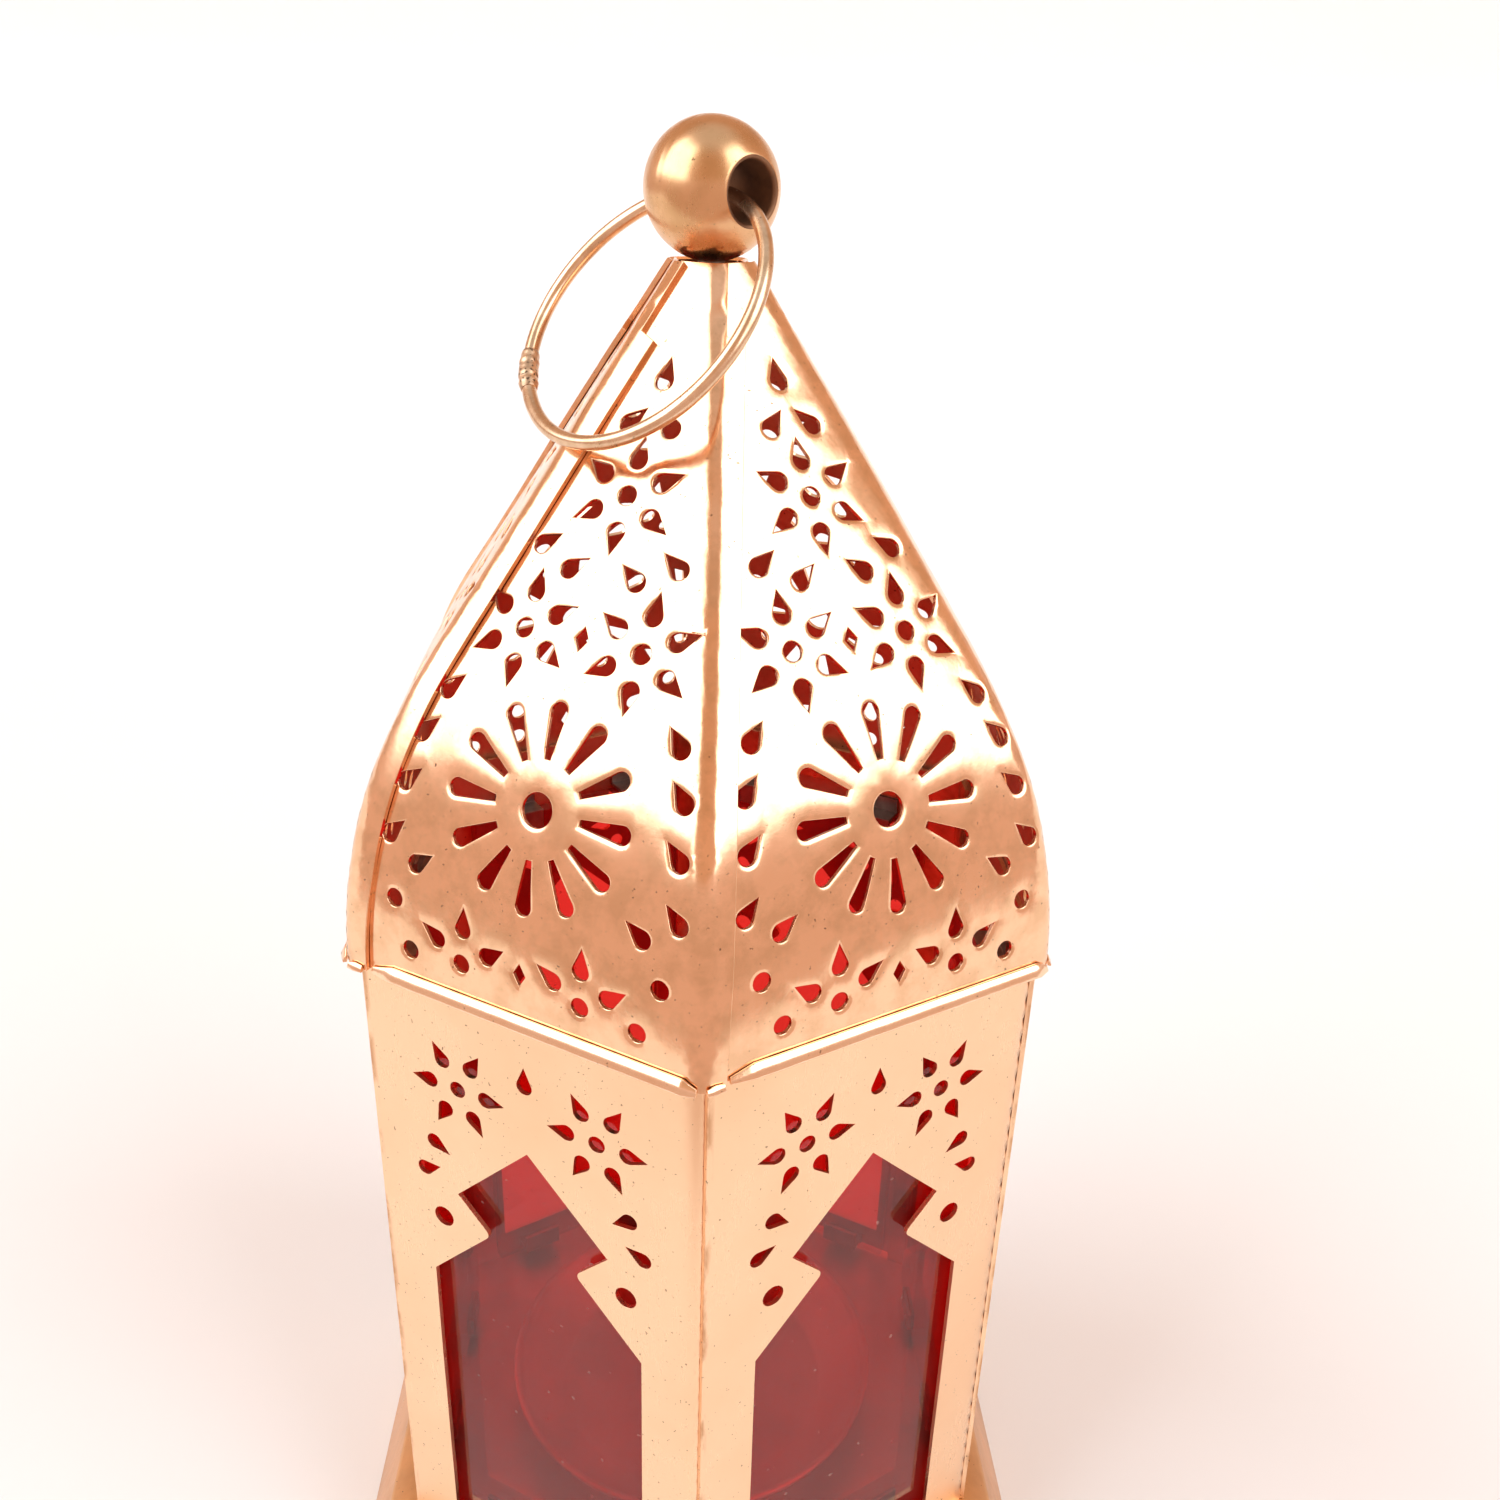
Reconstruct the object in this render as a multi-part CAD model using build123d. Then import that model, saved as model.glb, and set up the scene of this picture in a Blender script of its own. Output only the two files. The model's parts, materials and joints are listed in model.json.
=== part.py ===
from build123d import *
import os
from math import acos, atan2, cos, degrees, radians, sin, sqrt, tan

# Hexagonal candle lantern, millimetres, +Z up.
# Origin: centre of the base's underside. Corners of the hexagon lie on +X and -X.
# Face 0 looks along -Y; face k is face 0 turned by 60*k degrees about Z. Face 3 (+Y) is the door.
# In a face's own drawing frame x runs to the right seen from outside, and the sheet lies at y = -APOTHEM.

# Sheet and seams
SHEET = 0.6
GAP = 0.05
CORNER = 45.0
APOTHEM = CORNER * cos(radians(30))
HALF_FACE = CORNER / 2

# Heights
CREASE_Z = 12.6
BODY_BOTTOM = 16.45
FLOOR_Z = 15.8
EAVES_Z = 108.0
BODY_TOP = 110.5

# Base skirt, circumradius at its foot and at its crease
FOOT_CORNER = 56.25
CREASE_CORNER = 50.4
FOOT_LIP = 5.0

# Body faces
SEAM_FLANGE = 4.0
WINDOW_APEX = 90.0
WINDOW_STEP = (10.5, 79.5)
WINDOW_NOTCH = (6.0, 75.0)
WINDOW_SHOULDER = (14.9, 65.9)
WINDOW_BOTTOM = 21.0
NOTCH_RADIUS = 0.8

# Panes and their clips
PANE_HALF = 17.0
PANE_BOTTOM = 19.0
PANE_TOP = 101.9
PANE_THICK = 2.0
PANE_RECESS = 1.0
CLIP_WIDTH = 6.0
CLIP_SHEET = 0.5
CLIP_REACH = 2.6
CLIP_FOOT_TOP = 2.6
CLIP_FOOT_BOTTOM = 1.6
CLIP_X = 9.5

# Roof gores: a vertical foot, an arc, then a straight slope
ROOF_APOTHEM = 39.75
ROOF_ARC = 66.0
ROOF_SLOPE = 33.2
ROOF_STRAIGHT = 45.8
ROOF_FLANGE = 3.5
HEM_HIGH = 1.1
HEM_OUT = 0.9

# Punched shapes
DROP_ROUND = 1.03
DROP_TIP = 2.55
DOT = 1.06

# Finial
BALL_RADIUS = 7.25
BALL_Z = 189.4
BORE_RADIUS = 3.1
BORE_AZIMUTH = -20.0
STEM_RADIUS = 1.5

# Hanging ring
RING_RADIUS = 15.3
RING_WIRE = 0.8
RING_SLACK = 0.2
RING_LEAN = 39.0
RING_AZIMUTH = -18.0
RING_SLEEVE_RADIUS = 1.12
RING_SLEEVE_START = 134.0
RING_SLEEVE_ARC = 20.0

# Door
DOOR_EDGE = 1.2
DOOR_BOTTOM = 17.2
DOOR_TOP = 107.2
DOOR_REST_GAP = 0.15
OPENING_HALF = 17.6
OPENING_TOP = 105.0
HINGE_HEIGHTS = (34.0, 88.0)
KNUCKLE = 1.5
KNUCKLE_LONG = 4.0
PIN_RADIUS = 0.7
PIN_OUT = 1.9
LEAF_LONG = 6.5
KNOB_X = 18.1
KNOB_Z = 62.0

# Candle pan
PAN_FLOOR_RADIUS = 20.0
PAN_RIM_RADIUS = 27.0
PAN_HIGH = 5.6
PAN_SHEET = 0.5


def save(node, shape):
    """Write one sub-part as parts/NODE.step."""
    shape.label = node
    export_step(shape, f"parts/{node}.step")


def on_face(shape, face):
    """Turn a shape drawn for face 0 to another face of the hexagon."""
    return Rot(0, 0, 60 * face) * shape


def outline(*points):
    return make_face(Polyline(*points, close=True))


def plan_block(points, low, high):
    """A prism with a plan outline, from height low to height high."""
    return Pos(0, 0, low) * extrude(outline(*points), amount=high - low)


def hexagon(corner):
    return RegularPolygon(corner, 6)


def hex_frustum(low, low_corner, high, high_corner):
    return loft([Pos(0, 0, low) * hexagon(low_corner), Pos(0, 0, high) * hexagon(high_corner)])


def hex_ring(low, high, corner, width):
    ring = hexagon(corner) - hexagon(corner - width / cos(radians(30)))
    return Pos(0, 0, low) * extrude(ring, amount=high - low)


# ---------------------------------------------------------------- punched shapes

def drop(tip_angle, round_radius=DROP_ROUND, tip=DROP_TIP):
    """A teardrop whose round end is centred on the origin, with its tip at tip_angle."""
    spread = acos(round_radius / tip)
    turn = radians(tip_angle)
    point = (tip * cos(turn), tip * sin(turn))
    one = (round_radius * cos(turn + spread), round_radius * sin(turn + spread))
    two = (round_radius * cos(turn - spread), round_radius * sin(turn - spread))
    back = (-round_radius * cos(turn), -round_radius * sin(turn))
    return make_face([Line(point, one), ThreePointArc(one, back, two), Line(two, point)])


def petal(angle, inner=5.3, outer=11.3, inner_half=0.35, outer_half=1.0):
    """A long daisy petal that widens outwards from its flower's centre."""
    centre = outer - outer_half
    shape = make_face([
        Line((inner, -inner_half), (centre, -outer_half)),
        ThreePointArc((centre, -outer_half), (outer, 0), (centre, outer_half)),
        Line((centre, outer_half), (inner, inner_half)),
        Line((inner, inner_half), (inner, -inner_half)),
    ])
    return Rot(0, 0, angle) * shape


def diamond(half_wide=0.8, half_high=1.3):
    return outline((half_wide, 0), (0, half_high), (-half_wide, 0), (0, -half_high))


def flower(x, y, start, inner):
    """Six drops with their tips outwards, round a dot."""
    marks = [(x, y, Circle(DOT))]
    for step in range(6):
        angle = start + 60 * step
        marks.append((x + inner * cos(radians(angle)), y + inner * sin(radians(angle)), drop(angle)))
    return marks


def mirrored(x, y, tip_x, tip_y):
    """A drop and its mirror image: round end at x, y, pointing at tip_x, tip_y."""
    angle = degrees(atan2(tip_y - y, tip_x - x))
    return [(x, y, drop(angle)), (-x, y, drop(180 - angle))]


def mirrored_dots(x, y, radius=DOT):
    return [(x, y, Circle(radius)), (-x, y, Circle(radius))]


# ---------------------------------------------------------------- base

def base_skirt():
    """Flared hexagonal skirt with a crease, standing on a lip turned in at its foot."""
    wall = SHEET / cos(radians(30))
    outer = hex_frustum(0, FOOT_CORNER, CREASE_Z, CREASE_CORNER)
    outer += hex_frustum(CREASE_Z, CREASE_CORNER, FLOOR_Z - GAP, CORNER)
    steep = 1.15 * wall
    shallow = 1.9 * wall
    inner = hex_frustum(0, FOOT_CORNER - steep, CREASE_Z - 0.3, CREASE_CORNER - steep)
    inner += hex_frustum(CREASE_Z - 0.3, CREASE_CORNER - steep, FLOOR_Z - GAP, CORNER - shallow)
    return outer - inner + hex_ring(0, SHEET, FOOT_CORNER - steep / 2, FOOT_LIP)


def floor_plate():
    """Hexagonal floor that closes the skirt and carries the candle pan."""
    plate = extrude(hexagon(CORNER - 0.1), amount=SHEET)
    return Pos(0, 0, FLOOR_Z) * plate - Cylinder(1.6, 60)


def candle_pan():
    """Shallow dished pan with a flared rim that ends in a small bead."""
    low = FLOOR_Z + SHEET + GAP
    high = low + PAN_HIGH
    section = outline(
        (1.6, low), (PAN_FLOOR_RADIUS, low), (PAN_RIM_RADIUS, high - PAN_SHEET), (PAN_RIM_RADIUS, high),
        (PAN_RIM_RADIUS - 0.7, high), (PAN_FLOOR_RADIUS - 0.2, low + PAN_SHEET), (1.6, low + PAN_SHEET),
    )
    bead = Pos(PAN_RIM_RADIUS - 0.1, high) * Circle(0.55)
    return revolve(Plane.XZ * (section + bead), Axis.Z)


def pan_rivet():
    """Rivet that holds the pan to the floor."""
    low = FLOOR_Z - 0.7
    top = FLOOR_Z + SHEET + GAP + PAN_SHEET
    shank = Pos(0, 0, low) * Cylinder(1.55, top - low, align=(Align.CENTER, Align.CENTER, Align.MIN))
    head = Pos(0, 0, top + 0.05) * Cylinder(2.8, 0.7, align=(Align.CENTER, Align.CENTER, Align.MIN))
    head = fillet(head.edges().sort_by(Axis.Z)[-1], 0.5)
    neck = Pos(0, 0, top) * Cylinder(1.55, 0.1, align=(Align.CENTER, Align.CENTER, Align.MIN))
    foot = Pos(0, 0, FLOOR_Z - GAP) * Cylinder(2.6, 0.7, align=(Align.CENTER, Align.CENTER, Align.MAX))
    return shank + neck + head + foot


# ---------------------------------------------------------------- body faces

def meet(own, other):
    """Plan point at apothem own on face 0 and apothem other on the face to its right."""
    return ((other - own * sin(radians(30))) / cos(radians(30)), -own)


def face_marks():
    """Punched shapes of a body face, as x, height and outline."""
    marks = [(0, 99.3, drop(90))]
    for side in (-1, 1):
        marks += flower(side * 9.35, 95.3, 0, 3.9)
    marks += mirrored(13.4, 86.3, 11.1, 85.0)
    marks += mirrored(15.2, 81.6, 12.8, 82.6)
    marks += mirrored_dots(12.9, 75.0, 1.4)
    return marks


def window_outline():
    """Keyhole-arch window: a pointed head, a stepped notch each side and a square foot."""
    right = [(0, WINDOW_APEX), WINDOW_STEP, WINDOW_NOTCH, WINDOW_SHOULDER, (WINDOW_SHOULDER[0], WINDOW_BOTTOM)]
    left = [(-x, z) for x, z in reversed(right[1:])]
    window = outline(*right, *left)
    notches = window.vertices().filter_by(lambda v: abs(v.Y - WINDOW_NOTCH[1]) < 0.01)
    return fillet(notches, NOTCH_RADIUS)


def punch(sheet):
    """Cut the window and the punched pattern through a flat sheet of face 0."""
    plane = Plane(origin=(0, -APOTHEM, 0), x_dir=(1, 0, 0), z_dir=(0, -1, 0))
    tools = [extrude(plane * window_outline(), amount=1.5, both=True)]
    for x, z, shape in face_marks():
        tools.append(extrude(plane * (Pos(x, z) * shape), amount=1.5, both=True))
    return sheet - tools


def body_panel(flanged):
    """One face of the body; a flange at its right edge laps behind the next face."""
    inner = APOTHEM - SHEET
    if flanged:
        start = meet(APOTHEM, inner - GAP)
        end = meet(inner, inner - GAP - SHEET)
        along = (SEAM_FLANGE * cos(radians(60)), SEAM_FLANGE * sin(radians(60)))
        tip = (start[0] + along[0], start[1] + along[1])
        tip_in = (tip[0] - SHEET * cos(radians(30)), tip[1] + SHEET * sin(radians(30)))
        points = [(-HALF_FACE, -APOTHEM), start, tip, tip_in, end, (-HALF_FACE, -inner)]
    else:
        points = [(-HALF_FACE, -APOTHEM), (HALF_FACE, -APOTHEM), (HALF_FACE, -inner), (-HALF_FACE, -inner)]
    return punch(plan_block(points, BODY_BOTTOM, BODY_TOP))


def pane():
    """Flat glass pane set back behind a face."""
    front = APOTHEM - SHEET - GAP - PANE_RECESS
    points = [(-PANE_HALF, -front), (PANE_HALF, -front), (PANE_HALF, PANE_THICK - front), (-PANE_HALF, PANE_THICK - front)]
    block = plan_block(points, PANE_BOTTOM, PANE_TOP)
    return chamfer(block.edges().filter_by(Axis.Z), 0.2)


def clip(edge, up, foot):
    """A bent tab soldered to the sheet beyond the pane's edge, with a finger over the pane's back."""
    front = APOTHEM - SHEET - GAP
    back = front - PANE_RECESS - PANE_THICK - GAP
    near = edge + up * GAP
    far = edge + up * foot
    riser = near + up * CLIP_SHEET
    section = outline(
        (-front, far), (-front, near), (-back, near), (-back, edge - up * CLIP_REACH),
        (CLIP_SHEET - back, edge - up * CLIP_REACH), (CLIP_SHEET - back, riser),
        (CLIP_SHEET - front, riser), (CLIP_SHEET - front, far),
    )
    return extrude(Plane.YZ * section, amount=CLIP_WIDTH / 2, both=True)


def pane_clips():
    """Four clips for one pane."""
    top = clip(PANE_TOP, 1, CLIP_FOOT_TOP)
    bottom = clip(PANE_BOTTOM, -1, CLIP_FOOT_BOTTOM)
    return Compound(children=[Pos(x, 0, 0) * tab for x in (-CLIP_X, CLIP_X) for tab in (top, bottom)])


# ---------------------------------------------------------------- roof

def roof_point(arc_length, offset=0.0):
    """Apothem, height and slope angle on the roof's outer curve, moved outwards by offset."""
    turned = min(arc_length / ROOF_ARC, radians(ROOF_SLOPE))
    straight = max(arc_length - ROOF_ARC * radians(ROOF_SLOPE), 0)
    apothem = ROOF_APOTHEM - ROOF_ARC + (ROOF_ARC + offset) * cos(turned) - straight * sin(turned)
    height = (ROOF_ARC + offset) * sin(turned) + straight * cos(turned)
    return apothem, EAVES_Z + height, turned


def roof_curve(offset):
    """Arc and straight line of the roof's curve at an offset, drawn on the YZ plane."""
    arc_end = ROOF_ARC * radians(ROOF_SLOPE)
    stations = [roof_point(s, offset) for s in (0, arc_end / 2, arc_end, arc_end + ROOF_STRAIGHT)]
    start, middle, join, tip = [(-a, z) for a, z, _ in stations]
    return ThreePointArc(start, middle, join), Line(join, tip), start, tip


def roof_sheet(low, high):
    """The bent roof sheet between two offsets, wider than a gore."""
    arc_in, line_in, start_in, tip_in = roof_curve(low)
    arc_out, line_out, start_out, tip_out = roof_curve(high)
    edges = [arc_in, line_in, Line(tip_in, tip_out), line_out, arc_out, Line(start_out, start_in)]
    return extrude(Plane.YZ * make_face(edges), amount=HALF_FACE + 6, both=True)


def roof_inside(offset):
    """Everything behind the roof curve at an offset, as a wide block."""
    arc, line, start, tip = roof_curve(offset)
    foot = (start[0], EAVES_Z - 5)
    above = (tip[0] + 5 * tan(radians(ROOF_SLOPE)), tip[1] + 5)
    frame = Polyline(above, (30, above[1]), (30, foot[1]), foot, start)
    return extrude(Plane.YZ * make_face([arc, line, Line(tip, above), *frame.edges()]), amount=60, both=True)


def beside_corner(shift, side):
    """Wide block on one side of a vertical plane parallel to the corner at the face's left edge."""
    slope = tan(radians(30))
    far = 70
    points = [(shift, 0), (shift - far * slope, -far), (shift + side * 90, -far), (shift + side * 90, 0)]
    return plan_block(points, EAVES_Z - 5, EAVES_Z + 90)


def roof_marks():
    """Punched shapes of a gore, as x, arc length up from the eaves, and outline."""
    daisy_height = 24.3
    marks = [(0, 6.2, diamond()), (0, 42.3, diamond()), (0, daisy_height, Circle(1.85))]
    marks += [(0, daisy_height, petal(30 * step)) for step in range(12)]
    marks += mirrored_dots(14.7, 4.5)
    marks += mirrored_dots(7.7, 5.0)
    marks += mirrored_dots(17.0, 10.1)
    marks += mirrored(4.3, 6.9, 2.1, 8.3)
    marks += mirrored(7.6, 9.1, 7.6, 11.7)
    marks += mirrored(11.0, 7.0, 13.2, 8.4)
    marks += mirrored(14.4, 14.7, 12.2, 16.2)
    marks += mirrored(18.3, 17.2, 16.6, 18.9)
    marks += mirrored(17.2, 23.3, 15.5, 24.9)
    marks += mirrored(16.3, 28.9, 14.8, 30.5)
    marks += mirrored(14.4, 34.0, 12.9, 35.6)
    for x, height in ((-7.2, 42.2), (7.2, 42.2), (0, 57.9)):
        marks += flower(x, height, 30, 3.95)
    marks += mirrored(8.4, 51.3, 6.6, 52.5)
    marks += mirrored(4.1, 49.2, 2.3, 50.5)
    marks += mirrored(2.6, 65.6, 1.1, 67.2)
    marks += [(0, 70.7, drop(90))]
    return marks


def roof_punches():
    """Prisms for the pattern, each square to the sheet where it goes through."""
    tools = []
    for x, arc_length, shape in roof_marks():
        apothem, height, slope = roof_point(arc_length)
        plane = Plane(origin=(x, -apothem, height), x_dir=(1, 0, 0), z_dir=(0, -cos(slope), sin(slope)))
        tools.append(extrude(plane * shape, amount=1.6, both=True))
    return tools


def hem(low, high):
    """Rounded bead along a sheet's bottom edge, between two offsets from the roof curve."""
    out = -(ROOF_APOTHEM + high)
    bead = Plane.YZ * outline(
        (-(ROOF_APOTHEM + low), EAVES_Z), (out, EAVES_Z), (out, EAVES_Z + HEM_HIGH), (-(ROOF_APOTHEM + low), EAVES_Z + HEM_HIGH)
    )
    block = extrude(bead, amount=HALF_FACE + 6, both=True)
    outer_edges = block.edges().filter_by(Axis.X).sort_by(Axis.Y)[:2]
    return fillet(outer_edges, 0.45)


def roof_panel():
    """A gore with a flange at its right edge that laps over the next gore, and a hemmed foot."""
    clear_of_left = on_face(roof_inside(-SHEET - GAP), -1)
    up_to_right = on_face(roof_inside(GAP + SHEET), 1)
    sheet = roof_sheet(-SHEET, 0) & clear_of_left & up_to_right
    sheet = sheet - roof_punches()
    foot = hem(-SHEET, HEM_OUT) & up_to_right & beside_corner(ROOF_FLANGE + 0.4, 1)
    lap = roof_sheet(GAP, GAP + SHEET) + hem(GAP, SHEET + HEM_OUT)
    lap = lap & beside_corner(ROOF_FLANGE, -1)
    lap = on_face(lap, 1) & roof_inside(0)
    return sheet + foot + lap


# ---------------------------------------------------------------- finial and ring

def finial_ball():
    """Solid ball with a cross bore for the ring and a blind hole for the stem."""
    ball = Pos(0, 0, BALL_Z) * Sphere(BALL_RADIUS)
    bore = Pos(0, 0, BALL_Z) * Rot(0, 0, BORE_AZIMUTH) * Rot(0, 90, 0) * Cylinder(BORE_RADIUS, 30)
    stem_hole = Pos(0, 0, BALL_Z - BALL_RADIUS - 1) * Cylinder(STEM_RADIUS, 4.6, align=(Align.CENTER, Align.CENTER, Align.MIN))
    return ball - bore - stem_hole


def finial_stem():
    """Stud from the ball down through the roof's tip to its nut."""
    top = BALL_Z - BALL_RADIUS + 3.5
    return Pos(0, 0, top) * Cylinder(STEM_RADIUS - 0.02, 13.0, align=(Align.CENTER, Align.CENTER, Align.MAX))


def finial_washer():
    """Cone washer that pulls up against the inside of the roof's tip."""
    high = 177.6
    return Pos(0, 0, high) * Cylinder(5.6, 0.8, align=(Align.CENTER, Align.CENTER, Align.MAX)) - Cylinder(1.6, 500)


def finial_nut():
    high = 177.6 - 0.8 - GAP
    body = Pos(0, 0, high - 2.2) * extrude(hexagon(3.1), amount=2.2)
    return body - Cylinder(1.52, 500)


def ring_place():
    """Frame at the ring's centre: x along the bore, y along the lean, z square to the ring."""
    bore = radians(RING_AZIMUTH)
    lean = radians(RING_LEAN)
    away = bore - radians(90)
    down = (sin(lean) * cos(away), sin(lean) * sin(away), -cos(lean))
    reach = RING_RADIUS + RING_SLACK
    centre = (reach * down[0], reach * down[1], BALL_Z + reach * down[2])
    along = Vector(cos(bore), sin(bore), 0)
    return Plane(origin=centre, x_dir=along, z_dir=along.cross(Vector(*down)))


def hanging_ring():
    return ring_place() * Torus(RING_RADIUS, RING_WIRE)


def ring_sleeve():
    """Soldered sleeve over the joint of the ring's ends."""
    arc = CenterArc((0, 0), RING_RADIUS, RING_SLEEVE_START, RING_SLEEVE_ARC)
    section = Plane(origin=arc @ 0, z_dir=arc % 0) * (Circle(RING_SLEEVE_RADIUS) - Circle(RING_WIRE + 0.02))
    return ring_place() * sweep(section, path=arc)


# ---------------------------------------------------------------- door

def door_frame():
    """Inverted U behind the door, with side returns behind the two neighbouring faces."""
    front = APOTHEM - SHEET - DOOR_REST_GAP
    back = front - SHEET
    side_front = APOTHEM - SHEET - GAP
    side_back = side_front - SHEET
    bend = meet(front, side_front)
    bend_in = meet(back, side_back)
    along = (SEAM_FLANGE * cos(radians(60)), SEAM_FLANGE * sin(radians(60)))
    tip = (bend[0] + along[0], bend[1] + along[1])
    tip_in = (tip[0] - SHEET * cos(radians(30)), tip[1] + SHEET * sin(radians(30)))
    right = [bend, tip, tip_in, bend_in]
    left = [(-x, y) for x, y in reversed(right)]
    sheet = plan_block(right + left, BODY_BOTTOM, BODY_TOP)
    opening = [(-OPENING_HALF, -back + 3), (-OPENING_HALF, -front - 3), (OPENING_HALF, -front - 3), (OPENING_HALF, -back + 3)]
    return sheet - plan_block(opening, BODY_BOTTOM - 1, OPENING_TOP)


def door_leaf():
    """The hinged face, cut like the others but without a seam flange."""
    half = HALF_FACE - DOOR_EDGE
    inner = APOTHEM - SHEET
    points = [(-half, -APOTHEM), (half, -APOTHEM), (half, -inner), (-half, -inner)]
    leaf = punch(plan_block(points, DOOR_BOTTOM, DOOR_TOP))
    rivet_hole = Pos(KNOB_X, -APOTHEM, KNOB_Z) * Rot(90, 0, 0) * Cylinder(0.85, 6)
    return leaf - rivet_hole


def door_knob():
    """Ball knob on a collar, with a rivet shank through the door sheet."""
    out = APOTHEM + GAP
    shank = Pos(0, 0, out - SHEET) * Cylinder(0.82, 4, align=(Align.CENTER, Align.CENTER, Align.MIN))
    collar = Pos(0, 0, out) * Cylinder(1.9, 0.6, align=(Align.CENTER, Align.CENTER, Align.MIN))
    collar = fillet(collar.edges().sort_by(Axis.Z)[-1], 0.3)
    neck = Pos(0, 0, out) * Cylinder(1.1, 3, align=(Align.CENTER, Align.CENTER, Align.MIN))
    ball = Pos(0, 0, out + 3.2) * Sphere(2.3)
    return Pos(KNOB_X, 0, KNOB_Z) * Rot(90, 0, 0) * (shank + collar + neck + ball)


def hinge_axis():
    """Plan point of the hinge line, outside the corner at the door's left edge."""
    return (-HALF_FACE - PIN_OUT * sin(radians(30)), -APOTHEM - PIN_OUT * cos(radians(30)))


def hinge_leaf(offsets, side):
    """A strap leaf along +X from the hinge line, with knuckles at the given heights.

    side is 1 where the face lies on the leaf's +Y side, -1 where it lies on the other.
    """
    face_side = side * (PIN_OUT * cos(radians(30)) - GAP - SHEET / 2)
    height = 3 * KNUCKLE_LONG + 0.6
    leaf = Pos(KNUCKLE + LEAF_LONG / 2 - 0.1, face_side, 0) * Box(LEAF_LONG, SHEET, height)
    for offset in offsets:
        leaf += Pos(0, 0, offset) * Cylinder(KNUCKLE, KNUCKLE_LONG)
        leaf += Pos(KNUCKLE / 2, face_side, offset) * Box(KNUCKLE, SHEET, KNUCKLE_LONG)
    return leaf - Cylinder(PIN_RADIUS + 0.06, 40)


def hinge_leaves(turn, offsets, side):
    """The upper and lower hinge's leaves on one side of the hinge line."""
    x, y = hinge_axis()
    leaf = hinge_leaf(offsets, side)
    return Compound(children=[Pos(x, y, z) * Rot(0, 0, turn) * leaf for z in HINGE_HEIGHTS])


def hinge_pins():
    """Wire pins with a domed head above the top knuckle."""
    x, y = hinge_axis()
    pins = []
    for z in HINGE_HEIGHTS:
        pin = Pos(x, y, z) * Cylinder(PIN_RADIUS, 3 * KNUCKLE_LONG + 1.4)
        head = Pos(x, y, z + 1.5 * KNUCKLE_LONG + 1.0) * Cylinder(1.2, 0.8)
        pins.append(pin + fillet(head.edges().sort_by(Axis.Z)[-1], 0.4))
    return Compound(children=pins)


def door_catch():
    """Spring strip soldered to the face beyond the door's free edge, its lip just clear of the door."""
    out = APOTHEM + GAP
    strip = [(-HALF_FACE + 1.0, -out), (-HALF_FACE + 8.0, -out), (-HALF_FACE + 8.0, -out - 0.5), (-HALF_FACE + 0.4, -out - 0.5),
             (-HALF_FACE - 0.2, -out - 1.4), (-HALF_FACE - 0.2, -out - 0.9)]
    return plan_block(strip, KNOB_Z - 4, KNOB_Z + 4)


# ---------------------------------------------------------------- build

os.makedirs("parts", exist_ok=True)

DOOR_FACE = 3
FIXED_FACES = (0, 1, 2, 4, 5)

save("base_skirt", base_skirt())
save("floor_plate", floor_plate())
save("candle_pan", candle_pan())
save("pan_rivet", pan_rivet())

flanged_panel = body_panel(True)
plain_panel = body_panel(False)
glass = pane()
clips = pane_clips()
for face in FIXED_FACES:
    beside_door = face + 1 == DOOR_FACE
    save(f"body_panel_{face + 1}", on_face(plain_panel if beside_door else flanged_panel, face))
    save(f"glass_pane_{face + 1}", on_face(glass, face))
    save(f"pane_clips_{face + 1}", on_face(clips, face))

gore = roof_panel()
for face in range(6):
    save(f"roof_panel_{face + 1}", on_face(gore, face))

save("finial_ball", finial_ball())
save("finial_stem", finial_stem())
save("finial_washer", finial_washer())
save("finial_nut", finial_nut())
save("hanging_ring", hanging_ring())
save("ring_sleeve", ring_sleeve())

save("door_frame", on_face(door_frame(), DOOR_FACE))
save("door_leaf", on_face(door_leaf(), DOOR_FACE))
save("door_glass", on_face(glass, DOOR_FACE))
save("door_pane_clips", on_face(clips, DOOR_FACE))
save("door_knob", on_face(door_knob(), DOOR_FACE))
save("door_catch", on_face(door_catch(), DOOR_FACE + 1))
middle = (0,)
ends = (-KNUCKLE_LONG - 0.1, KNUCKLE_LONG + 0.1)
save("hinge_leaves_door", on_face(hinge_leaves(0, middle, 1), DOOR_FACE))
save("hinge_leaves_body", on_face(hinge_leaves(120, ends, -1), DOOR_FACE))
save("hinge_pins", on_face(hinge_pins(), DOOR_FACE))
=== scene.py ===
import json
import math

import bpy
from mathutils import Matrix, Vector, kdtree, noise
from mathutils.geometry import delaunay_2d_cdt


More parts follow.
